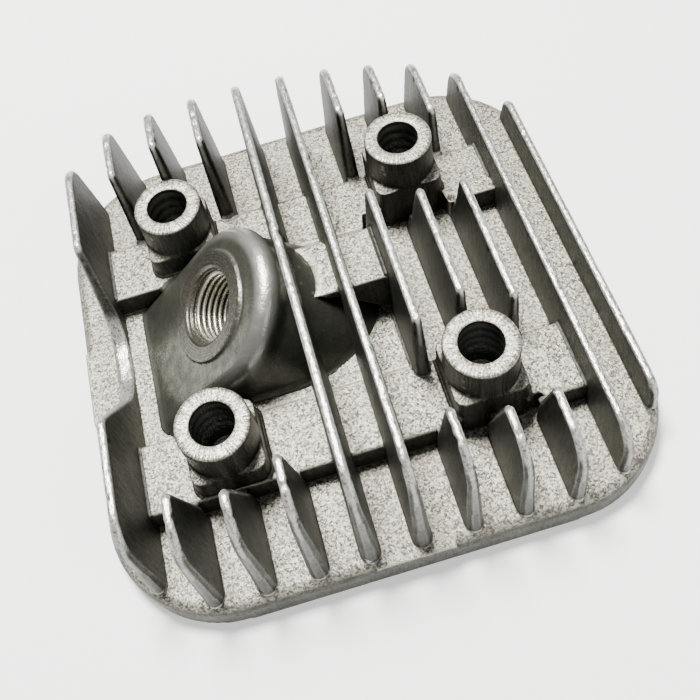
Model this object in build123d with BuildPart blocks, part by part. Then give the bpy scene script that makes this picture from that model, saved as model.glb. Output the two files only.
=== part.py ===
from build123d import *
import math
import os

# Die-cast aluminium cylinder head of a small air-cooled two-stroke engine.
# X runs across the fins, Y along them, Z up. Z = 0 is the gasket face and X = Y = 0 is the
# middle of the stud pattern, which is also the axis of the cylinder. Everything is in mm.

# Base plate
PLATE_LEFT = -49.6
PLATE_RIGHT = 54.8
PLATE_HALF_WIDTH = 50.0
PLATE_TOP = 6.5
PLATE_CORNER_R = 22.0
PLATE_EDGE_R = 2.0
LEFT_GATE_WIDTH = 16.0
FRONT_GATE_X = 3.0
FRONT_GATE_WIDTH = 14.0
GATE_DEPTH = 4.0

# Stud pillars: four M8 clearance holes on a square
STUD_PITCH = 48.0
STUD_HOLE_R = 4.1
PEDESTAL_SIDE = 13.8
PEDESTAL_CORNER_R = 2.0
PEDESTAL_TOP = 17.6
PILLAR_R = 6.8
PILLAR_TOP = 25.9
PILLAR_EDGE_R = 0.35
STUD_MOUTH_CHAMFER = 0.4

# Raised bars that tie the pillars together, and the web over the chamber
BAR_TOP = 12.4
BAR_EDGE_R = 0.6
BACK_BAR_FRONT = 14.6
BACK_BAR_BACK = 27.3
FRONT_BAR_FRONT = -31.5
FRONT_BAR_BACK = -18.1
WEB_LEFT = -18.0
WEB_RIGHT = 12.6

# Spark plug boss: a round-topped block whose face leans back 45 degrees
BOSS_TOE_X = -36.3
BOSS_LEAN = 45.0
BOSS_R = 15.3
BOSS_ARCH_UP = 24.0
BOSS_RIM_R = 3.0
BOSS_END = 12.4
PLUG_UP = 22.3
PLUG_Y = 0.9
PLUG_HOLE_R = 7.0
PLUG_SEAT_R = 10.7
PLUG_SEAT_RISE = 0.3
PLUG_MOUTH_CHAMFER = 0.6
PLUG_HOLE_DEPTH = 26.0

# Bridge block behind the boss
BRIDGE_LEFT = -0.9
BRIDGE_FRONT = -5.0
BRIDGE_BACK = 6.8
BRIDGE_TOP = 23.8
BRIDGE_EDGE_R = 0.4

# Combustion chamber: a shallow squish step over the cylinder bore, and a dome inside it
BORE_R = 23.5
SQUISH_STEP = 1.0
DOME_MOUTH_R = 18.0
DOME_TOP = 12.0
CHAMBER_RUN_OUT = 1.0

# Cooling fins: one pitch apart, with their crests on an arc
FIN_COUNT = 11
FIN_PITCH = 9.3
FIN_ROW_SHIFT = 0.2
CREST_HALF = 0.8
CREST_EDGE_R = 0.45
FIN_DRAFT = 1.9
CREST_ARC_R = 90.0
CREST_ARC_X = -10.3
CREST_ARC_TOP = 36.5
LAST_CREST = 14.3
END_INSET = 1.3
FRONT_LEAN = 2.0
BACK_LEAN = 11.0
END_TIP_R = 7.0
INNER_TIP_R = 1.4

# Interrupted fins: where each piece's crest ends, along Y
BACK_STUB_CREST = {2: 28.6, 3: 31.3, 4: 28.4, 7: 28.3, 8: 31.3, 9: 28.4}
FRONT_STUB_CREST = {2: -36.6, 3: -39.5, 4: -36.8, 7: -36.2, 8: -37.6, 9: -35.3}
MIDDLE_CREST = {7: (-20.6, 9.0), 8: (-16.0, 8.0), 9: (-17.4, 10.5)}
MIDDLE_FRONT_SPREAD = 0.6
BACK_STUB_BITE = 0.5
FRONT_STUB_BITE = 1.2

# Scallop in the first fin, for the plug socket
SCALLOP_FLOOR = 7.6
SCALLOP_TOP = 32.5
SCALLOP_BACK_TOP = 16.6
SCALLOP_BACK_FOOT = 10.3
SCALLOP_FRONT_FOOT = -4.8
SCALLOP_FRONT_TOP = -20.8
SCALLOP_BACK_R = 8.0
SCALLOP_FRONT_R = 10.0

CLEAR = 60.0
CUT_PAST = 2.0


def fin_x(number):
    """Middle of a fin, which are numbered 1 to 11 from the plug side."""
    return (number - (FIN_COUNT - 1) / 2 - 0.5) * FIN_PITCH + FIN_ROW_SHIFT


def fin_crest(number):
    """Height of a fin's crest, on an arc over the row; the last fin stands just above the arc."""
    across = fin_x(number) - CREST_ARC_X
    arc = CREST_ARC_TOP - CREST_ARC_R + math.sqrt(CREST_ARC_R**2 - across**2)
    return max(arc, LAST_CREST)


def fin_reach(number):
    """How far a fin's foot reaches along Y: just inside the plate's outline."""
    x = fin_x(number)
    left_centre = PLATE_LEFT + PLATE_CORNER_R
    right_centre = PLATE_RIGHT - PLATE_CORNER_R
    into_corner = max(left_centre - x, x - right_centre, 0.0)
    inset_r = PLATE_CORNER_R - END_INSET
    return PLATE_HALF_WIDTH - PLATE_CORNER_R + math.sqrt(inset_r**2 - into_corner**2)


def write(solid, name):
    solid.label = name
    export_step(solid, f"parts/{name}.step")


# --- Tools that cut more than one piece ----------------------------------------------------

stud_places = [
    (-STUD_PITCH / 2, -STUD_PITCH / 2),
    (STUD_PITCH / 2, -STUD_PITCH / 2),
    (-STUD_PITCH / 2, STUD_PITCH / 2),
    (STUD_PITCH / 2, STUD_PITCH / 2),
]
stud_names = ["front_left", "front_right", "back_left", "back_right"]

dome_rise = DOME_TOP - SQUISH_STEP
dome_r = (DOME_MOUTH_R**2 + dome_rise**2) / (2 * dome_rise)

with BuildPart() as chamber:
    # The sphere's poles lie along Y, clear of the plug hole that breaks into the dome's top.
    with Locations((0, 0, DOME_TOP - dome_r)):
        Sphere(dome_r, rotation=(90, 0, 0))
    with BuildSketch(Plane.XY.offset(-CHAMBER_RUN_OUT)):
        Circle(BORE_R)
    extrude(amount=CLEAR, mode=Mode.INTERSECT)
    with BuildSketch(Plane.XY.offset(-CHAMBER_RUN_OUT)):
        Circle(BORE_R)
    extrude(amount=CHAMBER_RUN_OUT + SQUISH_STEP)

# The boss face: local x is towards -Y and local y is up the slope from the toe. The plug hole's
# own plane is turned a quarter turn from it.
lean = math.radians(BOSS_LEAN)
boss_plane = Plane(
    origin=(BOSS_TOE_X, 0, PLATE_TOP),
    x_dir=(0, -1, 0),
    z_dir=(-math.sin(lean), 0, math.cos(lean)),
)
plug_centre = boss_plane.from_local_coords((-PLUG_Y, PLUG_UP, PLUG_SEAT_RISE))
plug_plane = Plane(origin=plug_centre, x_dir=boss_plane.y_dir, z_dir=boss_plane.z_dir)

with BuildPart() as stud_holes:
    with BuildSketch():
        with Locations(*stud_places):
            Circle(STUD_HOLE_R)
    extrude(amount=PILLAR_TOP)

with BuildPart() as plug_hole:
    with BuildSketch(plug_plane):
        Circle(PLUG_HOLE_R)
    extrude(amount=-PLUG_HOLE_DEPTH)


# --- Base plate -----------------------------------------------------------------------------

plate_mid_x = (PLATE_LEFT + PLATE_RIGHT) / 2

with BuildPart() as head_plate:
    with BuildSketch() as outline:
        with Locations((plate_mid_x, 0)):
            RectangleRounded(PLATE_RIGHT - PLATE_LEFT, 2 * PLATE_HALF_WIDTH, PLATE_CORNER_R)
    extrude(amount=PLATE_TOP)
    fillet(head_plate.faces().sort_by(Axis.Z)[-1].edges(), radius=PLATE_EDGE_R)
    # Two lands where the casting gates were cut off: there the top runs out to the edge.
    with BuildSketch() as gates:
        with Locations((PLATE_LEFT + GATE_DEPTH / 2, 0)):
            Rectangle(GATE_DEPTH, LEFT_GATE_WIDTH)
        with Locations((FRONT_GATE_X, -PLATE_HALF_WIDTH + GATE_DEPTH / 2)):
            Rectangle(FRONT_GATE_WIDTH, GATE_DEPTH)
    extrude(amount=PLATE_TOP)
    add(chamber.part, mode=Mode.SUBTRACT)
    add(plug_hole.part, mode=Mode.SUBTRACT)
    with Locations(*[(x, y, PLATE_TOP) for x, y in stud_places]):
        Hole(radius=STUD_HOLE_R, depth=PLATE_TOP)

write(head_plate.part, "head_plate")


# --- Stud pillars ---------------------------------------------------------------------------

def stud_pillar(x, y):
    """A square pedestal with a round pillar on it, bored right through for the stud."""
    with BuildPart() as pillar:
        with BuildSketch(Plane.XY.offset(PLATE_TOP)):
            with Locations((x, y)):
                RectangleRounded(PEDESTAL_SIDE, PEDESTAL_SIDE, PEDESTAL_CORNER_R)
        extrude(amount=PEDESTAL_TOP - PLATE_TOP)
        with BuildSketch(Plane.XY.offset(PEDESTAL_TOP)):
            with Locations((x, y)):
                Circle(PILLAR_R)
        extrude(amount=PILLAR_TOP - PEDESTAL_TOP)
        fillet(pillar.faces().sort_by(Axis.Z)[-1].edges(), radius=PILLAR_EDGE_R)
        with Locations((x, y, PILLAR_TOP)):
            Hole(radius=STUD_HOLE_R, depth=PILLAR_TOP - PLATE_TOP)
        mouth = pillar.edges().filter_by(GeomType.CIRCLE).group_by(Axis.Z)[-1]
        chamfer(mouth.sort_by(SortBy.RADIUS)[0], length=STUD_MOUTH_CHAMFER)
    return pillar.part


pillars = [stud_pillar(x, y) for x, y in stud_places]
for place_name, solid in zip(stud_names, pillars):
    write(solid, f"stud_pillar_{place_name}")


# --- Spark plug boss ------------------------------------------------------------------------

with BuildPart() as plug_boss:
    with BuildSketch(boss_plane):
        with Locations((0, BOSS_ARCH_UP)):
            Circle(BOSS_R)
        with Locations((0, (BOSS_ARCH_UP - CLEAR) / 2)):
            Rectangle(2 * BOSS_R, BOSS_ARCH_UP + CLEAR)
    extrude(amount=-2 * CLEAR)
    rim = plug_boss.faces().filter_by(Axis(plug_centre, boss_plane.z_dir)).sort_by(Axis.X)[0]
    fillet(rim.edges().sort_by(Axis.Z)[1:], radius=BOSS_RIM_R)
    with BuildSketch(boss_plane):
        with Locations((-PLUG_Y, PLUG_UP)):
            Circle(PLUG_SEAT_R)
    extrude(amount=PLUG_SEAT_RISE)
    # Keep what stands on the plate, and beyond the bridge block's near end, on the web.
    with BuildSketch(Plane.XZ):
        with BuildLine():
            Polyline(
                (BOSS_TOE_X, PLATE_TOP),
                (BRIDGE_LEFT, PLATE_TOP),
                (BRIDGE_LEFT, BAR_TOP),
                (BOSS_END, BAR_TOP),
                (BOSS_END, CLEAR),
                (BOSS_TOE_X, CLEAR),
                close=True,
            )
        make_face()
    extrude(amount=BOSS_R, both=True, mode=Mode.INTERSECT)
    add(plug_hole.part, mode=Mode.SUBTRACT)
    mouth = plug_boss.edges().filter_by(GeomType.CIRCLE).filter_by(
        lambda edge: abs(edge.radius - PLUG_HOLE_R) < 0.01
    )
    chamfer(mouth.sort_by(Axis.Z)[-1], length=PLUG_MOUTH_CHAMFER)
    add(chamber.part, mode=Mode.SUBTRACT)

write(plug_boss.part, "plug_boss")


# --- Fins -----------------------------------------------------------------------------------

def fin_piece(number, corners, tip_radii):
    """A drafted wall along Y, cut to the side outline given by its corners as (y, z).

    tip_radii rounds the outline's corners, one radius each, with 0 for a sharp one.
    """
    x = fin_x(number)
    crest = fin_crest(number)
    draft = math.tan(math.radians(FIN_DRAFT))
    foot_half = CREST_HALF + (crest - PLATE_TOP) * draft
    with BuildPart() as fin:
        with BuildSketch(Plane.YZ.offset(x)) as side:
            with BuildLine():
                Polyline(*corners, close=True)
            make_face()
            for corner, radius in zip(corners, tip_radii):
                if radius:
                    fillet(side.vertices().sort_by_distance(corner)[0], radius=radius)
        extrude(amount=FIN_PITCH / 2, both=True)
        # The drafted section runs on past the foot and the crest, so that its walls alone cut.
        with BuildSketch(Plane.XZ):
            with BuildLine():
                Polyline(
                    (x - foot_half - CUT_PAST * draft, PLATE_TOP - CUT_PAST),
                    (x - CREST_HALF + CUT_PAST * draft, crest + CUT_PAST),
                    (x + CREST_HALF - CUT_PAST * draft, crest + CUT_PAST),
                    (x + foot_half + CUT_PAST * draft, PLATE_TOP - CUT_PAST),
                    close=True,
                )
            make_face()
        extrude(amount=PLATE_HALF_WIDTH, both=True, mode=Mode.INTERSECT)
        crest_edges = fin.edges().filter_by(Axis.Y).group_by(Axis.Z)[-1]
        fillet(crest_edges, radius=CREST_EDGE_R)
    return fin.part


def front_end(number):
    """Foot and crest corner of a fin's front end, at the plate's edge."""
    foot = -fin_reach(number)
    rise = fin_crest(number) - PLATE_TOP
    return (foot, PLATE_TOP), (foot + rise * math.tan(math.radians(FRONT_LEAN)), fin_crest(number))


def back_end(number):
    """Crest corner and foot of a fin's back end, at the plate's edge."""
    foot = fin_reach(number)
    rise = fin_crest(number) - PLATE_TOP
    return (foot - rise * math.tan(math.radians(BACK_LEAN)), fin_crest(number)), (foot, PLATE_TOP)


def tip_radius(number):
    return min(END_TIP_R, (fin_crest(number) - PLATE_TOP) / 2)


def full_fin(number):
    corners = [*front_end(number), *back_end(number)]
    tip = tip_radius(number)
    return fin_piece(number, corners, [0, tip, tip, 0])


def scalloped_fin(number):
    """The fin beside the plug, scooped out almost to the plate so that a socket can pass."""
    crest = fin_crest(number)
    # The scallop's sloping sides are given at one height, and run on to the fin's own crest.
    climb = (crest - SCALLOP_FLOOR) / (SCALLOP_TOP - SCALLOP_FLOOR)
    scallop = [
        (SCALLOP_FRONT_FOOT + (SCALLOP_FRONT_TOP - SCALLOP_FRONT_FOOT) * climb, crest),
        (SCALLOP_FRONT_FOOT, SCALLOP_FLOOR),
        (SCALLOP_BACK_FOOT, SCALLOP_FLOOR),
        (SCALLOP_BACK_FOOT + (SCALLOP_BACK_TOP - SCALLOP_BACK_FOOT) * climb, crest),
    ]
    corners = [*front_end(number), *scallop, *back_end(number)]
    tip = tip_radius(number)
    radii = [0, tip, INNER_TIP_R, SCALLOP_FRONT_R, SCALLOP_BACK_R, INNER_TIP_R, tip, 0]
    return fin_piece(number, corners, radii)


def back_stub(number, inner_crest):
    behind_pillar = abs(abs(fin_x(number)) - STUD_PITCH / 2) < PILLAR_R / 2
    meets = STUD_PITCH / 2 + PEDESTAL_SIDE / 2 if behind_pillar else BACK_BAR_BACK
    foot = (meets - BACK_STUB_BITE, PLATE_TOP)
    corners = [foot, (inner_crest, fin_crest(number)), *back_end(number)]
    return fin_piece(number, corners, [0, INNER_TIP_R, tip_radius(number), 0])


def front_stub(number, inner_crest):
    foot = (FRONT_BAR_FRONT + FRONT_STUB_BITE, PLATE_TOP)
    corners = [*front_end(number), (inner_crest, fin_crest(number)), foot]
    return fin_piece(number, corners, [0, tip_radius(number), INNER_TIP_R, 0])


def middle_piece(number, front_crest, back_crest):
    crest = fin_crest(number)
    corners = [
        (front_crest - MIDDLE_FRONT_SPREAD, PLATE_TOP),
        (front_crest, crest),
        (back_crest, crest),
        (BACK_BAR_FRONT, PLATE_TOP),
    ]
    return fin_piece(number, corners, [0, INNER_TIP_R, INNER_TIP_R, 0])


def write_cut(solid, cutters, name):
    """Cut a piece back to the faces of the pieces that it meets, and write it."""
    with BuildPart() as piece:
        add(solid)
        for cutter in cutters:
            add(cutter, mode=Mode.SUBTRACT)
    write(piece.part, name)
    return piece.part


wall_fin_left = scalloped_fin(1)
wall_fin_right = full_fin(10)
write(wall_fin_left, "fin_01")
write(wall_fin_right, "fin_10")
write(full_fin(11), "fin_11")


# What the bars, web, bridge and fins are cast round: the pillars, the boss and every hole
cast_round = [plug_boss.part, *pillars, chamber.part, plug_hole.part, stud_holes.part]


# --- Tie bars and web -----------------------------------------------------------------------

def tie_bar(front, back, outer_side):
    """A raised bar across the plate, from the first fin to the tenth; its outer edge is rounded."""
    with BuildPart() as bar:
        with BuildSketch(Plane.XY.offset(PLATE_TOP)):
            with Locations(((fin_x(1) + fin_x(10)) / 2, (front + back) / 2)):
                Rectangle(fin_x(10) - fin_x(1), back - front)
        extrude(amount=BAR_TOP - PLATE_TOP)
        outer_edges = bar.edges().filter_by(Axis.X).group_by(Axis.Y)[outer_side]
        fillet(outer_edges.sort_by(Axis.Z)[-1], radius=BAR_EDGE_R)
        for cutter in (wall_fin_left, wall_fin_right, *cast_round):
            add(cutter, mode=Mode.SUBTRACT)
    return bar.part


front_bar = tie_bar(FRONT_BAR_FRONT, FRONT_BAR_BACK, 0)
back_bar = tie_bar(BACK_BAR_FRONT, BACK_BAR_BACK, -1)
write(front_bar, "front_bar")
write(back_bar, "back_bar")

with BuildPart() as center_web:
    with BuildSketch(Plane.XY.offset(PLATE_TOP)):
        with Locations(((WEB_LEFT + WEB_RIGHT) / 2, (FRONT_BAR_BACK + BACK_BAR_FRONT) / 2)):
            Rectangle(WEB_RIGHT - WEB_LEFT, BACK_BAR_FRONT - FRONT_BAR_BACK)
    extrude(amount=BAR_TOP - PLATE_TOP)
    for cutter in cast_round:
        add(cutter, mode=Mode.SUBTRACT)

write(center_web.part, "center_web")


# --- Interrupted fins, bridge block and the two fins that run right over -------------------

core = [front_bar, back_bar, center_web.part, *cast_round]

middle_parts = {}
for number, (front_crest, back_crest) in MIDDLE_CREST.items():
    solid = middle_piece(number, front_crest, back_crest)
    middle_parts[number] = write_cut(solid, core, f"fin_{number:02d}_middle")

for number, inner_crest in BACK_STUB_CREST.items():
    write_cut(back_stub(number, inner_crest), core, f"fin_{number:02d}_back")

for number, inner_crest in FRONT_STUB_CREST.items():
    write_cut(front_stub(number, inner_crest), core, f"fin_{number:02d}_front")

with BuildPart() as bridge_block:
    with BuildSketch(Plane.XY.offset(BAR_TOP)):
        with Locations(((BRIDGE_LEFT + fin_x(7)) / 2, (BRIDGE_FRONT + BRIDGE_BACK) / 2)):
            Rectangle(fin_x(7) - BRIDGE_LEFT, BRIDGE_BACK - BRIDGE_FRONT)
    extrude(amount=BRIDGE_TOP - BAR_TOP)
    long_edges = bridge_block.faces().sort_by(Axis.Z)[-1].edges().filter_by(Axis.X)
    fillet(long_edges, radius=BRIDGE_EDGE_R)
    for cutter in (*cast_round, middle_parts[7]):
        add(cutter, mode=Mode.SUBTRACT)

write(bridge_block.part, "bridge_block")

for number in (5, 6):
    write_cut(full_fin(number), [*core, bridge_block.part], f"fin_{number:02d}")
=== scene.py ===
"""Looks of a die-cast aluminium cylinder head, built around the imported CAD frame."""
import math
import random

import bmesh
import bpy
import numpy as np
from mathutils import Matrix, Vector


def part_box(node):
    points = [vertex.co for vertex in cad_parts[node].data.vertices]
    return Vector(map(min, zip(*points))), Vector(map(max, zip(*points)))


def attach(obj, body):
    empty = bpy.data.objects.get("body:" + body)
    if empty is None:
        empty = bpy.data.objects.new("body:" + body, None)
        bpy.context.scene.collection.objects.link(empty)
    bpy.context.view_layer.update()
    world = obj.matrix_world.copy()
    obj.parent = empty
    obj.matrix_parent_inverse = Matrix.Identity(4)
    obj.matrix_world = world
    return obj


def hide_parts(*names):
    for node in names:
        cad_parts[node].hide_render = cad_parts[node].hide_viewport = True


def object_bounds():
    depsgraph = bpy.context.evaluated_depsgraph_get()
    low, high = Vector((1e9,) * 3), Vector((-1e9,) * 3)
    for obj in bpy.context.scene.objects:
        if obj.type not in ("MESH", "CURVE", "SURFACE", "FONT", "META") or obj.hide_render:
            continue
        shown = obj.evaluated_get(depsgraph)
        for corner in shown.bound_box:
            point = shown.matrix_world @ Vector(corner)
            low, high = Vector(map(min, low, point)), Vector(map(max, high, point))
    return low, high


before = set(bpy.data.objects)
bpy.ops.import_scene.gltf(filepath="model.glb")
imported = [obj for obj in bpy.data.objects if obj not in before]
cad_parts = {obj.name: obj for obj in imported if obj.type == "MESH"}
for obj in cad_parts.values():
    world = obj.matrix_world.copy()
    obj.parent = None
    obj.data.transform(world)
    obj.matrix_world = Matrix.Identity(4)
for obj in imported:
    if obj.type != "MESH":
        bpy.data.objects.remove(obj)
cad_low, cad_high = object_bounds()

MM = 0.001
TINY = 1e-6
UP = (0, 0, 1)

# --- Sizes, in mm -----------------------------------------------------------------------------

# Remeshed skin: how fine it is, its root fillets, and the uneven surface a die leaves
FIN_VOXEL = 0.4
PLATE_VOXEL = 0.5
SMALL_VOXEL = 0.32
SOFTENING = 0.5
SOFTENING_PASSES = 3
ROOT_R = 0.9
BOSS_ROOT_R = 1.4
ROOT_SHARE = 0.9
ROOT_BELOW = 0.4
WALL_STEEPNESS = 0.7
WAVE_SIZE = 7.0
WAVE_DEPTH = 0.13
BOSS_WAVE_DEPTH = 0.3
GRAIN_SIZE = 0.8
GRAIN_DEPTH = 0.05
PILLAR_GRAIN_DEPTH = 0.06
TEXTURE_DETAIL = 2
MACHINED_MARGIN = 0.4

# Fins: half-round ends and small knocks along the crest
CREST_HALF = 0.8
FIN_DRAFT = math.radians(1.9)
NOSE_SLICE = 0.6
NOSE_REACH = 1.6
NICKS_PER_FIN = 5
NICK_BAND = 2.0
NICK_DEPTH = 0.3
NICK_SIZE = (0.6, 1.3)
NICK_SHARE = (0.3, 1.0)
NICK_SHARPNESS = 3
RANDOM_SEED = 7

# Bars: beside the right-hand pillars their fronts stand back, so that the pedestals run down to the plate
FRONT_SET_BACK = {"depth": 1.2, "fades_over": 2.0, "starts": (16.0, 17.0), "ends": (32.5, 33.5)}
BACK_SET_BACK = {"depth": 3.1, "fades_over": 6.0, "starts": (12.5, 13.5), "ends": (30.5, 31.3)}
SET_BACK_FROM = 13.0
FIN_RUN_ON = 3.4
FIN_RUN_ON_OVER = 2.5
PIT_PLACE = (32.0, 15.5, 12.4)
PIT_SIZE = 0.7
PIT_DEPTH = 1.0
BAR_END_RUN_IN = 0.8
BAR_END_ZONE = 1.0
BRIDGE_STRETCH = 5.0
BRIDGE_RUN_IN = 2.6

# Stud pillars: the bore's mouth is drawn in to a crisp edge
PILLAR_R = 6.8
STUD_HOLE_R = 4.1
MOUTH_ZONE = 0.9
MOUTH_BURR = 0.15
MOUTH_SQUEEZE = 0.35

# Spark plug boss
BOSS_LEAN = math.radians(45)
BOSS_ARCH_UP = 24.0
BOSS_RIM_DEPTH = 3.0
BOSS_WAIST = 1.5
WAIST_CLEARANCE = 4.0
WAIST_RUN_IN = 4.0
PLUG_UP = 22.3
PLUG_Y = 0.9
PLUG_HOLE_R = 7.0
PLUG_SEAT_R = 10.7
SEAT_RISE = 0.3
SEAT_STEP = 0.35
SEAT_ZONE = 0.8
SEAT_SKIN = 0.5
SEAT_MARGIN = 0.2
BORE_MARGIN = 0.5

# Spark plug thread: M14 x 1.25, cut from the seat down
THREAD_PITCH = 1.25
THREAD_DEPTH = 0.72
THREAD_START = 0.55
THREAD_REACH = 12.7
THREAD_BACKING = 0.15
THREAD_SINK = 0.02
THREAD_FULLNESS = 1.25
THREAD_SIDES = 96
THREAD_ROWS_PER_TURN = 12

# Floor, in metres
FLOOR_HALF = 2.0
FLOOR_Z = -0.2 * MM


def node_box(name):
    """A CAD node's box in mm."""
    low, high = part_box(name)
    return np.array(low) / MM, np.array(high) / MM


PLATE_TOP = node_box("head_plate")[1][2]
PILLAR_TOP = node_box("stud_pillar_front_left")[1][2]
BOSS_TOE_X = node_box("plug_boss")[0][0]
front_bar_low, front_bar_high = node_box("front_bar")
back_bar_low, back_bar_high = node_box("back_bar")
web_low, web_high = node_box("center_web")
bridge_low, bridge_high = node_box("bridge_block")
BAR_TOP = front_bar_high[2]

# The boss's face: the way up it, the way out of it, the middle of its round top and of the plug seat
side_of_face = np.array([0, 1, 0])
up_slope = np.array([math.cos(BOSS_LEAN), 0, math.sin(BOSS_LEAN)])
out_of_face = np.array([-math.sin(BOSS_LEAN), 0, math.cos(BOSS_LEAN)])
arch_centre = np.array([BOSS_TOE_X, 0, PLATE_TOP]) + BOSS_ARCH_UP * up_slope
plug_seat = np.array([BOSS_TOE_X, PLUG_Y, PLATE_TOP]) + PLUG_UP * up_slope + SEAT_RISE * out_of_face


# --- Camera and light: the photograph's viewpoint, in the row frame ----------------------------

CAMERA_PLACE = Vector((-1.61, -95.14, 175.57)) * MM
CAMERA_TURN = (0.60219, 0.15627, -0.24602)
CAMERA_LENS = 49.28
CAMERA_SENSOR = 36.0
CAMERA_SHIFT = (0.0695, -0.1881)
CAMERA_CLIP = (0.01, 10.0)

KEY_PLACE = (-0.04, 0.17, 0.6)
KEY_SIZE = 0.2
KEY_POWER = 14.5
KEY_COLOUR = (1.0, 0.99, 0.965)
FILL_PLACE = (0.35, -0.45, 0.4)
FILL_SIZE = 0.5
FILL_POWER = 2.0
WHITE = (1.0, 1.0, 1.0)
WORLD_STRENGTH = 0.42


def link(thing):
    bpy.context.scene.collection.objects.link(thing)
    return thing


def make_camera():
    data = bpy.data.cameras.new("camera")
    data.lens = CAMERA_LENS
    data.sensor_width = CAMERA_SENSOR
    data.shift_x, data.shift_y = CAMERA_SHIFT
    data.clip_start, data.clip_end = CAMERA_CLIP
    camera = link(bpy.data.objects.new("camera", data))
    camera.location = CAMERA_PLACE
    camera.rotation_euler = CAMERA_TURN
    bpy.context.scene.camera = camera


def area_light(name, place, size, power, colour):
    """A round soft light that faces the origin."""
    data = bpy.data.lights.new(name, "AREA")
    data.shape = "DISK"
    data.size = size
    data.energy = power
    data.color = colour
    light = link(bpy.data.objects.new(name, data))
    light.location = place
    light.rotation_euler = (-Vector(place)).to_track_quat("-Z", "Y").to_euler()


def light_world(colour, strength):
    world = bpy.data.worlds.new("studio")
    world.use_nodes = True
    background = world.node_tree.nodes["Background"]
    background.inputs["Color"].default_value = (*colour, 1)
    background.inputs["Strength"].default_value = strength
    bpy.context.scene.world = world


make_camera()
area_light("key", KEY_PLACE, KEY_SIZE, KEY_POWER, KEY_COLOUR)
area_light("fill", FILL_PLACE, FILL_SIZE, FILL_POWER, WHITE)
light_world(WHITE, WORLD_STRENGTH)


# --- Material nodes ------------------------------------------------------------------------------

WARM = (1.05, 1.0, 0.83)
OLIVE = (0.97, 1.0, 0.80)
PLAIN = (1.0, 1.0, 0.93)


def grey(level, tint=WARM):
    """A near-neutral colour of that linear level."""
    return (*(min(1.0, level * part) for part in tint), 1)


def add_node(tree, kind, inputs=None, **settings):
    """A new node with its settings and inputs; an input may be a value or another node's output."""
    new = tree.nodes.new(kind)
    for key, value in settings.items():
        setattr(new, key, value)
    for key, value in (inputs or {}).items():
        if isinstance(value, bpy.types.NodeSocket):
            tree.links.new(value, new.inputs[key])
        else:
            new.inputs[key].default_value = value
    return new


def calc(tree, operation, a, b=0.0):
    return add_node(tree, "ShaderNodeMath", {0: a, 1: b}, operation=operation).outputs[0]


def times(tree, a, b):
    return calc(tree, "MULTIPLY", a, b)


def plus(tree, a, b):
    return calc(tree, "ADD", a, b)


def remap(tree, value, start, end, low=0.0, high=1.0):
    """A smooth step from low to high as the value runs from start to end."""
    made = add_node(tree, "ShaderNodeMapRange", {
        "Value": value, "From Min": start, "From Max": end, "To Min": low, "To Max": high,
    }, interpolation_type="SMOOTHSTEP")
    return made.outputs["Result"]


def blend(tree, factor, a, b):
    """A mix of two colours."""
    made = add_node(tree, "ShaderNodeMix", {0: factor, 6: a, 7: b}, data_type="RGBA")
    return made.outputs[2]


def coat(tree, base, over, mask, share):
    """A colour laid over another where the mask is, at most up to that share."""
    return blend(tree, times(tree, mask, share), base, over)


def object_place(tree):
    """Position on the row frame's coordinates, in metres."""
    return add_node(tree, "ShaderNodeTexCoord").outputs["Object"]


def noise_at(tree, size, detail=2.0, stretch=(1, 1, 1), roughness=0.5):
    """Noise with features of about the size given in mm."""
    scale = tuple(1 / (size * MM * s) for s in stretch)
    spread = add_node(tree, "ShaderNodeMapping", {"Vector": object_place(tree), "Scale": scale})
    made = add_node(tree, "ShaderNodeTexNoise", {
        "Vector": spread.outputs[0], "Scale": 1.0, "Detail": detail, "Roughness": roughness,
    })
    return made.outputs["Fac"]


def crystals_at(tree, size):
    """One random level for each crystal of about the size given in mm."""
    cells = add_node(tree, "ShaderNodeTexVoronoi", {
        "Vector": object_place(tree), "Scale": 1 / (size * MM),
    })
    return add_node(tree, "ShaderNodeSeparateColor", {0: cells.outputs["Color"]}).outputs[0]


def upness(tree, start=0.45, end=0.85):
    """1 where the surface faces up, 0 on walls."""
    normal = add_node(tree, "ShaderNodeNewGeometry").outputs["Normal"]
    across = add_node(tree, "ShaderNodeSeparateXYZ", {0: normal}).outputs["Z"]
    return remap(tree, across, start, end)


def edge_mask(tree, start, end):
    """1 along outside edges, where the surface bends sharply."""
    sharp = add_node(tree, "ShaderNodeNewGeometry").outputs["Pointiness"]
    return remap(tree, sharp, start, end)


def reach_along(tree, vector, direction):
    """How far a vector reaches in a direction."""
    made = add_node(tree, "ShaderNodeVectorMath", {0: vector, 1: tuple(direction)},
                    operation="DOT_PRODUCT")
    return made.outputs["Value"]


def off_axis(tree, point, direction):
    """Position measured from an axis: the distance off it, and the position relative to the point."""
    start = tuple(float(v) * MM for v in point)
    relative = add_node(tree, "ShaderNodeVectorMath", {0: object_place(tree), 1: start},
                        operation="SUBTRACT").outputs[0]
    along = tuple(float(v) for v in direction)
    cross = add_node(tree, "ShaderNodeVectorMath", {0: relative, 1: along}, operation="CROSS_PRODUCT")
    length = add_node(tree, "ShaderNodeVectorMath", {0: cross.outputs[0]}, operation="LENGTH")
    return length.outputs["Value"], relative


def tool_marks(tree, distance, pitch):
    """Fine rings that a facing cutter leaves, one pitch (mm) apart: -1 to 1."""
    return calc(tree, "SINE", times(tree, distance, 2 * math.pi / (pitch * MM)))


def new_material(name):
    made = bpy.data.materials.new(name)
    made.use_nodes = True
    made.node_tree.nodes.clear()
    return made


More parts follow.
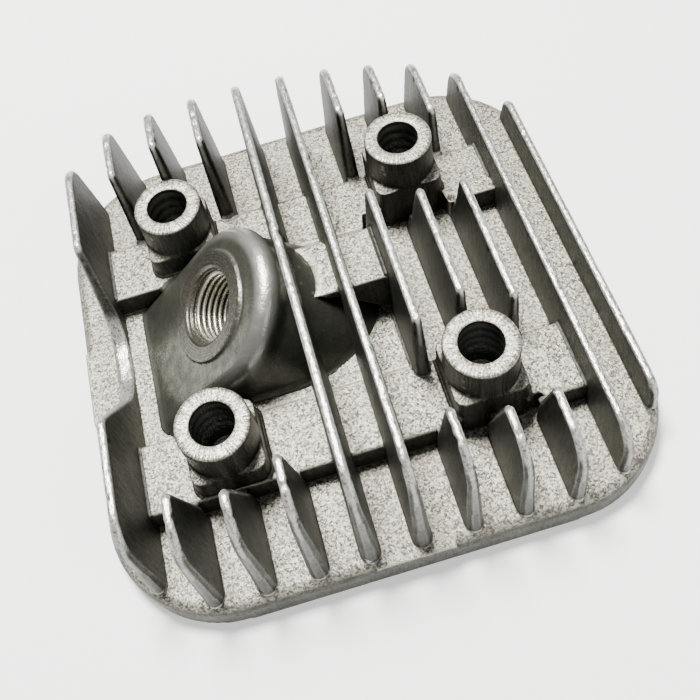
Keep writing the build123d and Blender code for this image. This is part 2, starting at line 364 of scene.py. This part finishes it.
def finish_material(made, colour, roughness, height, metallic, bump_depth):
    """Wires the colour, roughness and height into one metal shader."""
    tree = made.node_tree
    bump = add_node(tree, "ShaderNodeBump", {
        "Height": height, "Distance": bump_depth * MM, "Strength": 1.0,
    })
    shader = add_node(tree, "ShaderNodeBsdfPrincipled", {
        "Base Color": colour, "Roughness": roughness, "Metallic": metallic,
        "Normal": bump.outputs["Normal"],
    })
    add_node(tree, "ShaderNodeOutputMaterial", {"Surface": shader.outputs["BSDF"]})
    return made


# --- Skins: levels of grey are linear, sizes of grain in mm ------------------------------------------

# Draft walls: dark and light level of each kind, set low as painted shade, and the marks they share
FLOOR_WALL_SHADED = (0.02, 0.075)
FIN_WALL_SHADED = (0.016, 0.07)
PILLAR_WALL_SHADED = (0.016, 0.065)
STREAK_SIZE = 0.5
STREAK_STRETCH = (1, 1, 9)
WALL_GRAIN_SIZE = 0.32
WALL_PATCH_SIZE = 6
WALL_PATCH_SHADE = 0.8

# Broad floors, bars and bridge
SPECK_SIZE = 0.25
SPECK_DARK = 0.04
SPECK_LIGHT = 0.42
STAIN_SIZE = 9
STAIN_SHADE = 0.55
FLOOR_EDGE_WEAR_AND_HIGHLIGHT = 0.50
TURNED_PITCH = 0.7
TURNED_DARK = 0.30
TURNED_LIGHT = 0.42

# Fin crests
CREST_GRAIN_SIZE = 0.35
CREST_STRETCH = (1, 2.5, 1)
CREST_DARK = 0.12
CREST_LIGHT = 0.46
CREST_EDGE_WEAR_AND_HIGHLIGHT = 0.62

# Boss, and the faced ring round its hole
BOSS_MOTTLE_SIZE = 2.2
BOSS_DARK = 0.085
BOSS_LIGHT = 0.12
BOSS_GRAIN_SIZE = 0.4
BOSS_SPECK = 0.05
BOSS_TOP_PAINTED_HIGHLIGHT = 0.27
BOSS_RIM_PAINTED_HIGHLIGHT = 0.34
BOSS_EDGE_WEAR_AND_HIGHLIGHT = 0.4
RIM_INNER_R = 12.0
RIM_OUTER_R = 13.6
SEAT_PITCH = 0.55
SEAT_DARK = 0.065
SEAT_LIGHT = 0.095
SEAT_SPECK = 0.19

# Pillars: faced top with radial chatter, ledge of the pedestal, drilled bore darkened as painted shade
TOP_GRAIN_SIZE = 0.4
TOP_DARK = 0.10
TOP_LIGHT = 0.46
CHATTER_TURNS = 16.0
CHATTER_LENGTH = 160.0
CHATTER_LINE = 0.07
LEDGE_DARK = 0.10
LEDGE_LIGHT = 0.25
DRILL_PITCH = 2.6
BORE_PAINTED_SHADE_DARK = 0.03
BORE_PAINTED_SHADE_LIGHT = 0.13
PILLAR_EDGE_WEAR_AND_HIGHLIGHT = 0.46

# Thread
THREAD_GRAIN_SIZE = 0.25
THREAD_ROOT_PAINTED_SHADE = 0.10
THREAD_CREST_PAINTED_HIGHLIGHT = 0.72
THREAD_SPECK = 0.2


def shaded_wall_colour(tree, dark, light):
    """Draft walls: darkened as painted shade, with faint streaks along the way the die draws."""
    streaks = noise_at(tree, STREAK_SIZE, stretch=STREAK_STRETCH)
    grain = noise_at(tree, WALL_GRAIN_SIZE)
    mixed = plus(tree, times(tree, streaks, 0.5), times(tree, grain, 0.5))
    drawn = blend(tree, remap(tree, mixed, 0.36, 0.64), grey(dark, OLIVE), grey(light, OLIVE))
    patches = remap(tree, noise_at(tree, WALL_PATCH_SIZE, detail=3), 0.3, 0.7)
    return coat(tree, drawn, grey(dark * WALL_PATCH_SHADE, OLIVE), patches, share=0.4)


def floor_skin(name):
    """As-cast metal: salt-and-pepper grain where it faces up, walls darkened as painted shade, edges
    lightened as wear and painted highlight, turned below.
    """
    made = new_material(name)
    tree = made.node_tree
    grain = noise_at(tree, SPECK_SIZE, detail=3, roughness=0.65)
    coarse = noise_at(tree, SPECK_SIZE * 2.6)
    mixed = plus(tree, times(tree, grain, 0.62), times(tree, coarse, 0.38))
    crystals = crystals_at(tree, SPECK_SIZE * 1.3)
    salt = remap(tree, plus(tree, mixed, times(tree, crystals, 0.36)), 0.46, 0.92)
    stains = remap(tree, noise_at(tree, STAIN_SIZE, detail=3), 0.35, 0.7)
    top = blend(tree, salt, grey(SPECK_DARK), grey(SPECK_LIGHT))
    top = coat(tree, top, grey(SPECK_LIGHT * STAIN_SHADE), stains, share=0.22)
    # Walls take the darker wall colour, which is painted shade.
    colour = blend(tree, upness(tree), shaded_wall_colour(tree, *FLOOR_WALL_SHADED), top)
    # Sharp edges lightened: partly real wear, partly painted highlight.
    colour = coat(tree, colour, grey(FLOOR_EDGE_WEAR_AND_HIGHLIGHT), edge_mask(tree, 0.51, 0.56), share=0.65)
    # The gasket face and squish step, which face down, are turned flat.
    from_bore, _ = off_axis(tree, (0, 0, 0), UP)
    rings = remap(tree, tool_marks(tree, from_bore, TURNED_PITCH), -1, 1)
    turned = blend(tree, rings, grey(TURNED_DARK, PLAIN), grey(TURNED_LIGHT, PLAIN))
    not_down = upness(tree, -0.97, -0.9)
    colour = blend(tree, remap(tree, not_down, 1, 0), colour, turned)
    rough = remap(tree, mixed, 0.35, 0.6, low=0.62, high=0.42)
    height = plus(tree, mixed, times(tree, noise_at(tree, 2.4), 0.6))
    return finish_material(made, colour, rough, height, metallic=0.75, bump_depth=0.16)


def fin_skin(name):
    """A fin: bright crest with few specks, drawn walls darkened as painted shade."""
    made = new_material(name)
    tree = made.node_tree
    grain = noise_at(tree, CREST_GRAIN_SIZE, 3, CREST_STRETCH, 0.6)
    specks = remap(tree, grain, 0.36, 0.52)
    crest = blend(tree, specks, grey(CREST_DARK, PLAIN), grey(CREST_LIGHT, PLAIN))
    # Walls take the darker wall colour, which is painted shade; the crest keeps its own colour.
    colour = blend(tree, upness(tree, 0.25, 0.7), shaded_wall_colour(tree, *FIN_WALL_SHADED), crest)
    # Sharp crest edges lightened: partly real wear, partly painted highlight.
    colour = coat(tree, colour, grey(CREST_EDGE_WEAR_AND_HIGHLIGHT, PLAIN), edge_mask(tree, 0.515, 0.57), share=0.7)
    rough = remap(tree, plus(tree, grain, upness(tree)), 0.4, 1.6, low=0.56, high=0.30)
    height = plus(tree, grain, noise_at(tree, 1.6, 3, (1, 1, 3)))
    return finish_material(made, colour, rough, height, metallic=0.8, bump_depth=0.12)


def boss_skin(name):
    """Satin cast boss with painted highlights on its up-facing top and rim, and a faced seat ring round
    the plug hole.
    """
    made = new_material(name)
    tree = made.node_tree
    from_hole, from_seat = off_axis(tree, plug_seat, out_of_face)
    in_ring = remap(tree, from_hole, (PLUG_SEAT_R + 0.25) * MM, (PLUG_SEAT_R - 0.1) * MM)
    on_face = remap(tree, reach_along(tree, from_seat, out_of_face), -0.9 * MM, -0.25 * MM)
    on_seat = times(tree, in_ring, on_face)

    mottle = remap(tree, noise_at(tree, BOSS_MOTTLE_SIZE, detail=4), 0.3, 0.7)
    grain = noise_at(tree, BOSS_GRAIN_SIZE, detail=3)
    skin = blend(tree, mottle, grey(BOSS_DARK, OLIVE), grey(BOSS_LIGHT, OLIVE))
    skin = coat(tree, skin, grey(BOSS_SPECK), remap(tree, grain, 0.5, 0.62), share=0.35)
    # Faces that point up get a painted highlight.
    skin = coat(tree, skin, grey(BOSS_TOP_PAINTED_HIGHLIGHT, PLAIN), upness(tree, 0.74, 0.97), share=0.8)

    # The rim of the round top, just behind the face, gets a painted highlight.
    from_arch_axis, from_arch = off_axis(tree, arch_centre, out_of_face)
    outside = remap(tree, from_arch_axis, RIM_INNER_R * MM, RIM_OUTER_R * MM)
    behind_face = remap(tree, reach_along(tree, from_arch, out_of_face), -5.0 * MM, -2.2 * MM)
    upper = remap(tree, reach_along(tree, from_arch, up_slope), -7.0 * MM, 1.0 * MM)
    rim = times(tree, times(tree, outside, behind_face), upper)
    skin = coat(tree, skin, grey(BOSS_RIM_PAINTED_HIGHLIGHT, PLAIN), rim, share=0.6)

    rings = tool_marks(tree, from_hole, SEAT_PITCH)
    faced = blend(tree, remap(tree, rings, -1.0, 1.0), grey(SEAT_DARK), grey(SEAT_LIGHT))
    faced = coat(tree, faced, grey(SEAT_SPECK), remap(tree, grain, 0.52, 0.64), share=0.6)
    colour = blend(tree, on_seat, skin, faced)
    # Sharp edges lightened: partly real wear, partly painted highlight.
    colour = coat(tree, colour, grey(BOSS_EDGE_WEAR_AND_HIGHLIGHT), edge_mask(tree, 0.55, 0.60), share=0.35)
    height = plus(tree, times(tree, grain, 0.6), times(tree, times(tree, rings, on_seat), 0.12))
    rough = remap(tree, mottle, 0.0, 1.0, low=0.38, high=0.30)
    return finish_material(made, colour, rough, height, metallic=0.8, bump_depth=0.10)


def pillar_skin(name, x, y):
    """A stud pillar: faced top with radial chatter, turned side darkened as painted shade, bore darkened
    as painted shade.
    """
    made = new_material(name)
    tree = made.node_tree
    distance, relative = off_axis(tree, (x, y, 0), UP)
    parts = add_node(tree, "ShaderNodeSeparateXYZ", {0: relative})
    height_up = parts.outputs["Z"]
    grain = noise_at(tree, TOP_GRAIN_SIZE, detail=3, roughness=0.6)

    angle = calc(tree, "ARCTAN2", parts.outputs["Y"], parts.outputs["X"])
    around = add_node(tree, "ShaderNodeCombineXYZ", {
        "X": times(tree, angle, CHATTER_TURNS),
        "Y": times(tree, distance, CHATTER_LENGTH),
    })
    chatter = add_node(tree, "ShaderNodeTexNoise", {
        "Vector": around.outputs[0], "Scale": 1.6, "Detail": 3.0, "Roughness": 0.6,
    })
    outer = remap(tree, distance, (STUD_HOLE_R + 0.5) * MM, PILLAR_R * MM, low=0.35)
    lines = times(tree, remap(tree, chatter.outputs["Fac"], 0.5, 0.6), outer)
    faced = blend(tree, remap(tree, grain, 0.36, 0.58), grey(TOP_DARK), grey(TOP_LIGHT))
    faced = coat(tree, faced, grey(CHATTER_LINE), lines, share=0.85)

    ledge = blend(tree, remap(tree, grain, 0.38, 0.62), grey(LEDGE_DARK), grey(LEDGE_LIGHT))
    # Walls take the darker wall colour, which is painted shade.
    colour = blend(tree, upness(tree), shaded_wall_colour(tree, *PILLAR_WALL_SHADED), ledge)
    near_top = remap(tree, height_up, (PILLAR_TOP - 0.8) * MM, (PILLAR_TOP - 0.3) * MM)
    colour = blend(tree, times(tree, upness(tree), near_top), colour, faced)

    in_bore = remap(tree, distance, (STUD_HOLE_R + 0.35) * MM, (STUD_HOLE_R + 0.1) * MM)
    below_mouth = remap(tree, height_up, (PILLAR_TOP - 0.2) * MM, (PILLAR_TOP - 1.4) * MM)
    drilled = plus(tree, tool_marks(tree, height_up, DRILL_PITCH), noise_at(tree, 1.2, detail=3))
    # Inside the bore: drill marks, darkened overall as painted shade.
    bore = blend(tree, remap(tree, drilled, -0.5, 1.5), grey(BORE_PAINTED_SHADE_DARK, OLIVE), grey(BORE_PAINTED_SHADE_LIGHT, OLIVE))
    colour = blend(tree, times(tree, in_bore, below_mouth), colour, bore)
    # Sharp edges lightened: partly real wear, partly painted highlight.
    colour = coat(tree, colour, grey(PILLAR_EDGE_WEAR_AND_HIGHLIGHT), edge_mask(tree, 0.515, 0.57), share=0.4)
    height = calc(tree, "SUBTRACT", grain, times(tree, lines, 0.5))
    return finish_material(made, colour, 0.42, height, metallic=0.7, bump_depth=0.10)


def thread_skin(name):
    """Thread crests with a painted highlight over roots with painted shade."""
    made = new_material(name)
    tree = made.node_tree
    distance, _ = off_axis(tree, plug_seat, out_of_face)
    grain = noise_at(tree, THREAD_GRAIN_SIZE, detail=3)
    crest = remap(tree, distance, (PLUG_HOLE_R - 0.15) * MM, (PLUG_HOLE_R - THREAD_DEPTH) * MM)
    # Crests lightened as painted highlight, roots darkened as painted shade.
    colour = blend(tree, crest, grey(THREAD_ROOT_PAINTED_SHADE), grey(THREAD_CREST_PAINTED_HIGHLIGHT))
    colour = coat(tree, colour, grey(THREAD_SPECK), remap(tree, grain, 0.5, 0.65), share=0.4)
    rough = remap(tree, grain, 0.3, 0.7, low=0.22, high=0.38)
    return finish_material(made, colour, rough, grain, metallic=0.9, bump_depth=0.05)


# --- From solids to cast pieces ----------------------------------------------------------------------

def fine_mesh(node_name, voxel):
    """The CAD node as an even, closed mesh with softened edges; vertices in metres."""
    work = bmesh.new()
    work.from_mesh(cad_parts[node_name].data)
    bmesh.ops.remove_doubles(work, verts=work.verts, dist=TINY)
    source = bpy.data.meshes.new(node_name)
    work.to_mesh(source)
    work.free()
    holder = link(bpy.data.objects.new("holder", source))
    remesh = holder.modifiers.new("remesh", "REMESH")
    remesh.mode = "VOXEL"
    remesh.voxel_size = voxel * MM
    remesh.use_smooth_shade = True
    smooth = holder.modifiers.new("smooth", "SMOOTH")
    smooth.factor = SOFTENING
    smooth.iterations = SOFTENING_PASSES
    graph = bpy.context.evaluated_depsgraph_get()
    made = bpy.data.meshes.new_from_object(holder.evaluated_get(graph))
    bpy.data.objects.remove(holder)
    bpy.data.meshes.remove(source)
    return made


def read_points(mesh):
    """The vertices in mm, and their normals."""
    points = np.empty(len(mesh.vertices) * 3)
    mesh.vertices.foreach_get("co", points)
    normals = np.empty(len(mesh.vertices) * 3)
    mesh.vertex_normals.foreach_get("vector", normals)
    return points.reshape(-1, 3) / MM, normals.reshape(-1, 3)


def write_points(mesh, points):
    """Moves the vertices, kept inside the CAD model's box."""
    low, high = np.array(cad_low) / MM, np.array(cad_high) / MM
    mesh.vertices.foreach_set("co", (np.clip(points, low, high) * MM).ravel())
    mesh.update()


# Boxes that stand on the plate, with the height of their tops
ground_blocks = [
    (front_bar_low, front_bar_high, BAR_TOP),
    (back_bar_low, np.array([SET_BACK_FROM, *back_bar_high[1:]]), BAR_TOP),
    (back_bar_low + BACK_SET_BACK["depth"] * side_of_face, back_bar_high, BAR_TOP),
    (web_low, web_high, BAR_TOP),
    (bridge_low, bridge_high, bridge_high[2]),
]


def ground(points):
    """Height of the broad floor that lies at each place."""
    level = np.full(len(points), PLATE_TOP)
    for low, high, top in ground_blocks:
        inside = np.all((points[:, :2] > low[:2]) & (points[:, :2] < high[:2]), axis=1)
        level = np.where(inside, np.maximum(level, top), level)
    return level


def smooth_step(values, start, end):
    """0 before the start, 1 past the end, and eased between."""
    share = np.clip((values - start) / (end - start), 0, 1)
    return share * share * (3 - 2 * share)


def flare_roots(points, normals, radius):
    """Root fillets: the walls spread as they come down to whichever floor they stand on."""
    sideways = normals.copy()
    sideways[:, 2] = 0
    size = np.linalg.norm(sideways, axis=1)
    wall = size > WALL_STEEPNESS
    sideways[wall] /= size[wall, None]
    above = points[:, 2] - ground(points + sideways * radius)
    near = wall & (above > -ROOT_BELOW) & (above < radius)
    drop = radius - np.clip(above[near], 0, radius)
    spread = radius - np.sqrt(np.maximum(radius**2 - drop**2, 0))
    points[near] += sideways[near] * spread[:, None] * ROOT_SHARE


def round_noses(points, x, top):
    """Gives a fin's two ends a half-round plan: the square corner of the wall is drawn onto a circle."""
    heights = np.arange(PLATE_TOP, top, NOSE_SLICE)
    slices = np.clip(((points[:, 2] - PLATE_TOP) / NOSE_SLICE).astype(int), 0, len(heights) - 1)
    half = CREST_HALF + np.maximum(top - points[:, 2], 0) * math.tan(FIN_DRAFT)
    across = (points[:, 0] - x) / half
    for side in (-1, 1):
        ends = np.full(len(heights), -np.inf)
        np.maximum.at(ends, slices, side * points[:, 1])
        end = np.interp(points[:, 2], heights + NOSE_SLICE / 2, ends)
        inward = (half - (end - side * points[:, 1])) / half
        near = (inward > 0) & (np.abs(across) < NOSE_REACH)
        a, b = inward[near], across[near]
        shrink = np.maximum(np.abs(a), np.abs(b)) / np.maximum(np.hypot(a, b), TINY)
        points[near, 0] = x + b * shrink * half[near]
        points[near, 1] = side * (end[near] - half[near] * (1 - a * shrink))


def set_back(points, front, depth, fades_over, starts, ends):
    """Moves a bar's front face back between two places along the bar."""
    x, y = points[:, 0], points[:, 1]
    beside = smooth_step(x, *starts) * smooth_step(-x, -ends[1], -ends[0])
    points[:, 1] += depth * beside * smooth_step(-y, -front - fades_over, -front)


def dent(points, place, size, depth):
    """A rounded hollow pressed straight down."""
    away = np.linalg.norm(points - np.array(place), axis=1) / size
    points[:, 2] -= depth * np.exp(-(away**2)) * smooth_step(points[:, 2], PLATE_TOP, place[2])


def nick_edges(points, normals, above, rng):
    """Small knocks along a crest, where castings rub against each other in the tumbler."""
    high = np.flatnonzero(points[:, 2] > above)
    for _ in range(NICKS_PER_FIN):
        centre = points[high[rng.randrange(len(high))]]
        size = rng.uniform(*NICK_SIZE)
        away = np.linalg.norm(points - centre, axis=1) / size
        push = np.exp(-NICK_SHARPNESS * away**2) * NICK_DEPTH * rng.uniform(*NICK_SHARE)
        points -= normals * push[:, None]


def skin_texture(name, size):
    texture = bpy.data.textures.new(name, "CLOUDS")
    texture.noise_scale = size * MM
    texture.noise_depth = TEXTURE_DETAIL
    return texture


wave_texture = skin_texture("wave", WAVE_SIZE)
grain_texture = skin_texture("grain", GRAIN_SIZE)


def roughen(piece, as_cast, wave=WAVE_DEPTH, grain=GRAIN_DEPTH):
    """Uneven die-cast surface on the vertices that are as cast; machined faces stay flat."""
    group = piece.vertex_groups.new(name="cast")
    group.add(np.flatnonzero(as_cast).tolist(), 1.0, "REPLACE")
    for name, texture, depth in (("wave", wave_texture, wave), ("grain", grain_texture, grain)):
        displace = piece.modifiers.new(name, "DISPLACE")
        displace.texture = texture
        displace.strength = depth * MM
        displace.mid_level = 0.5
        displace.vertex_group = group.name


def make_piece(name, mesh, material, nodes):
    """A piece of the visual model, which rides the one body and stands for those CAD nodes."""
    mesh.name = name
    mesh.materials.clear()
    mesh.materials.append(material)
    for polygon in mesh.polygons:
        polygon.use_smooth = True
    piece = link(bpy.data.objects.new(name, mesh))
    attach(piece, "root")
    if nodes:
        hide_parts(*nodes)
    return piece


# --- Fins -----------------------------------------------------------------------------------------

def cast_fin(node_name, material, rng):
    mesh = fine_mesh(node_name, FIN_VOXEL)
    points, normals = read_points(mesh)
    top = points[:, 2].max()
    low, high = node_box(node_name)
    round_noses(points, (low[0] + high[0]) / 2, top)
    if node_name.endswith("_middle"):
        # These three run on back to the set-back bar.
        bar_front = back_bar_low[1]
        points[:, 1] += FIN_RUN_ON * smooth_step(points[:, 1], bar_front - FIN_RUN_ON_OVER, bar_front)
    flare_roots(points, normals, ROOT_R)
    nick_edges(points, normals, top - NICK_BAND, rng)
    write_points(mesh, points)
    piece = make_piece(node_name + "_cast", mesh, material, [node_name])
    roughen(piece, np.full(len(points), True))


knocks = random.Random(RANDOM_SEED)
fin_material = fin_skin("fin_cast_skin")
floor_material = floor_skin("floor_cast_skin")

for node_name in sorted(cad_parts):
    if node_name.startswith("fin_"):
        cast_fin(node_name, fin_material, knocks)


# --- Plate, bars, web and bridge ------------------------------------------------------------------

def sink_ends(points):
    """Runs a bar's ends into the fins that they meet."""
    right, left = points[:, 0].max(), points[:, 0].min()
    points[:, 0] += BAR_END_RUN_IN * smooth_step(points[:, 0], right - BAR_END_ZONE, right)
    points[:, 0] -= BAR_END_RUN_IN * smooth_step(-points[:, 0], -left - BAR_END_ZONE, -left)


def run_into_boss(points):
    """Stretches the bridge's near end into the lowered top of the boss."""
    reach = points[:, 0].min()
    near = points[:, 0] < reach + BRIDGE_STRETCH
    points[near, 0] -= BRIDGE_RUN_IN * (1 - (points[near, 0] - reach) / BRIDGE_STRETCH)


def cast_block(node_name, voxel, material):
    mesh = fine_mesh(node_name, voxel)
    points, normals = read_points(mesh)
    if node_name != "head_plate":
        flare_roots(points, normals, ROOT_R)
    if node_name == "front_bar":
        set_back(points, front_bar_low[1], **FRONT_SET_BACK)
    if node_name == "back_bar":
        set_back(points, back_bar_low[1], **BACK_SET_BACK)
        dent(points, PIT_PLACE, PIT_SIZE, PIT_DEPTH)
    if node_name in ("front_bar", "back_bar", "bridge_block"):
        sink_ends(points)
    if node_name == "bridge_block":
        run_into_boss(points)
    write_points(mesh, points)
    piece = make_piece(node_name + "_cast", mesh, material, [node_name])
    roughen(piece, points[:, 2] >= MACHINED_MARGIN)


cast_block("head_plate", PLATE_VOXEL, floor_material)
for node_name in ("front_bar", "back_bar", "center_web", "bridge_block"):
    cast_block(node_name, SMALL_VOXEL, floor_material)


# --- Stud pillars -----------------------------------------------------------------------------------

def cast_pillar(node_name):
    low, high = node_box(node_name)
    x, y = (low[0] + high[0]) / 2, (low[1] + high[1]) / 2
    mesh = fine_mesh(node_name, SMALL_VOXEL)
    points, normals = read_points(mesh)
    flare_roots(points, normals, ROOT_R)
    # The remeshed mouth of the bore is drawn back in to a crisp edge.
    off_centre = np.hypot(points[:, 0] - x, points[:, 1] - y)
    mouth = (off_centre < STUD_HOLE_R + MOUTH_ZONE) & (points[:, 2] > PILLAR_TOP - MOUTH_ZONE)
    wanted = STUD_HOLE_R - MOUTH_BURR + (off_centre[mouth] - STUD_HOLE_R) * MOUTH_SQUEEZE
    points[mouth, 0] = x + (points[mouth, 0] - x) * wanted / off_centre[mouth]
    points[mouth, 1] = y + (points[mouth, 1] - y) * wanted / off_centre[mouth]
    write_points(mesh, points)
    piece = make_piece(node_name + "_cast", mesh, pillar_skin(node_name + "_skin", x, y), [node_name])
    faced = points[:, 2] > PILLAR_TOP - MACHINED_MARGIN
    drilled = off_centre < STUD_HOLE_R + MACHINED_MARGIN
    roughen(piece, ~(faced | drilled), grain=PILLAR_GRAIN_DEPTH)


for node_name in sorted(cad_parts):
    if node_name.startswith("stud_pillar"):
        cast_pillar(node_name)


# --- Spark plug boss and its thread ---------------------------------------------------------------

def lower_waist(points):
    """Behind its rim the boss's round top is a little lower."""
    from_arch = points - arch_centre
    climb, across = from_arch @ up_slope, from_arch[:, 1]
    radius = np.hypot(climb, across)
    top = np.clip(climb / np.maximum(radius, 1), 0, 1) * (radius > PLUG_HOLE_R + WAIST_CLEARANCE)
    back = smooth_step(-from_arch @ out_of_face, BOSS_RIM_DEPTH, BOSS_RIM_DEPTH + WAIST_RUN_IN)
    pull = BOSS_WAIST * top * back / np.maximum(radius, 1)
    points -= pull[:, None] * (climb[:, None] * up_slope + across[:, None] * side_of_face)


def cast_boss():
    mesh = fine_mesh("plug_boss", SMALL_VOXEL)
    points, normals = read_points(mesh)
    flare_roots(points, normals, BOSS_ROOT_R)
    lower_waist(points)
    from_seat = points - plug_seat
    behind = -from_seat @ out_of_face
    from_hole = np.linalg.norm(from_seat + behind[:, None] * out_of_face, axis=1)
    seat = (from_hole < PLUG_SEAT_R) & (from_hole > PLUG_HOLE_R) & (behind < SEAT_ZONE)
    points[seat] += SEAT_STEP * out_of_face
    write_points(mesh, points)
    piece = make_piece("plug_boss_cast", mesh, boss_skin("boss_skin"), ["plug_boss"])
    faced = (from_hole < PLUG_SEAT_R + SEAT_MARGIN) & (behind < SEAT_SKIN)
    drilled = from_hole < PLUG_HOLE_R + BORE_MARGIN
    roughen(piece, ~(faced | drilled), wave=BOSS_WAVE_DEPTH)


def plug_ring(depth, radii):
    """One ring of places round the plug hole's axis, that deep below the seat."""
    ahead = np.cross(out_of_face, side_of_face)
    turns = 2 * math.pi * np.arange(THREAD_SIDES) / THREAD_SIDES
    spokes = np.outer(np.cos(turns), side_of_face) + np.outer(np.sin(turns), ahead)
    return plug_seat - out_of_face * depth + spokes * np.reshape(radii, (-1, 1))


def thread_radii(depth, run_in):
    """The thread's radius all round the hole at one depth: a cosine ridge with flattened crests."""
    phases = depth / THREAD_PITCH - np.arange(THREAD_SIDES) / THREAD_SIDES
    ridge = 0.5 - 0.5 * np.cos(2 * math.pi * phases)
    return PLUG_HOLE_R + THREAD_SINK - THREAD_DEPTH * run_in * np.minimum(1, THREAD_FULLNESS * ridge)


def thread_sleeve():
    """Helical ridges standing in from the plug hole's wall, on a thin backing sunk into it."""
    length = THREAD_REACH - THREAD_START
    rows = int(length / THREAD_PITCH * THREAD_ROWS_PER_TURN)
    loops = []
    for row in range(rows + 1):
        depth = THREAD_START + length * row / rows
        run_in = min(1.0, row / THREAD_ROWS_PER_TURN, (rows - row) / THREAD_ROWS_PER_TURN)
        loops.append(plug_ring(depth, thread_radii(depth, run_in)))
    for depth in (THREAD_REACH, THREAD_START):
        loops.append(plug_ring(depth, PLUG_HOLE_R + THREAD_BACKING))
    work = bmesh.new()
    rings = [[work.verts.new(Vector(spot) * MM) for spot in loop] for loop in loops]
    for ring, following in zip(rings, rings[1:] + rings[:1]):
        for step in range(THREAD_SIDES):
            ahead = (step + 1) % THREAD_SIDES
            work.faces.new((ring[step], ring[ahead], following[ahead], following[step]))
    bmesh.ops.recalc_face_normals(work, faces=work.faces)
    mesh = bpy.data.meshes.new("plug_thread")
    work.to_mesh(mesh)
    work.free()
    make_piece("plug_thread", mesh, thread_skin("thread_skin"), [])


cast_boss()
thread_sleeve()


# --- Floor ----------------------------------------------------------------------------------------

FLOOR_PAINT = (0.97, 0.97, 0.97, 1)
FLOOR_ROUGHNESS = 0.9
FLOOR_GLOW = 0.35


def make_floor():
    corners = [(x * FLOOR_HALF, y * FLOOR_HALF, FLOOR_Z) for x, y in ((-1, -1), (1, -1), (1, 1), (-1, 1))]
    mesh = bpy.data.meshes.new("floor")
    mesh.from_pydata(corners, [], [(0, 1, 2, 3)])
    made = bpy.data.materials.new("floor_paint")
    made.use_nodes = True
    shader = made.node_tree.nodes["Principled BSDF"]
    shader.inputs["Base Color"].default_value = FLOOR_PAINT
    shader.inputs["Roughness"].default_value = FLOOR_ROUGHNESS
    shader.inputs["Emission Color"].default_value = (*WHITE, 1)
    shader.inputs["Emission Strength"].default_value = FLOOR_GLOW
    mesh.materials.append(made)
    link(bpy.data.objects.new("floor", mesh))


make_floor()
